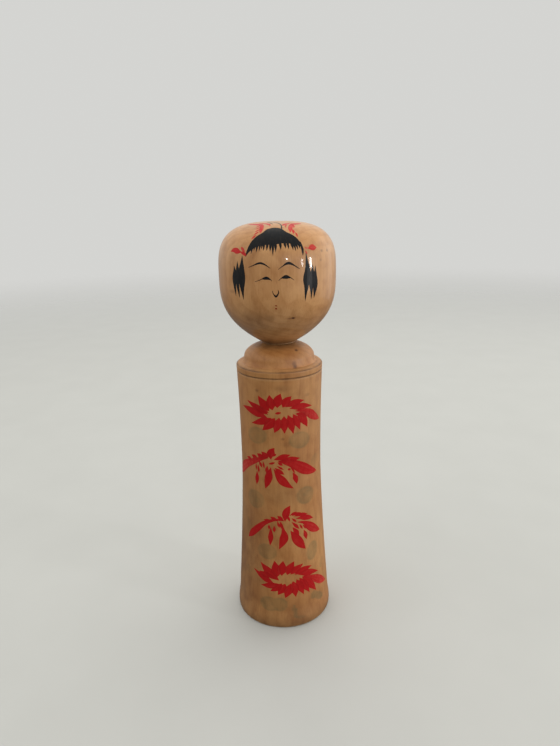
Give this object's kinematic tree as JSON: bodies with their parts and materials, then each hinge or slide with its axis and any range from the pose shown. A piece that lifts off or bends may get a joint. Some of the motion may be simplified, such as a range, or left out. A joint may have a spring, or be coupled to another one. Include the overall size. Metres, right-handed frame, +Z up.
{
  "type": "kokeshi doll",
  "caption": "Turned wooden kokeshi doll: a flared cylindrical body with a stepped shoulder, and a round head that turns in a socket.",
  "frame": {"origin": "centre of the flat base that the doll stands on", "axes": "+Z up along the turning axis, which is also the axis the head turns about; the face looks along -Y"},
  "size_m": [0.0648, 0.0648, 0.2394],
  "materials": {
    "body_wood": "turned, waxed and aged amber",
    "head_wood": "turned, waxed and polished, aged amber",
    "black_ink": "brushed black ink under wax",
    "red_dye": "brushed red dye under wax"
  },
  "bodies": {
    "body": {"body": "body_wood"},
    "head": {"head": "head_wood"}
  },
  "joints": [
    {"name": "head_turn", "type": "hinge", "parent": "body", "child": "head", "pos_m": [0, 0, 0.166], "axis": [0, 0, 1], "continuous": true}
  ]
}
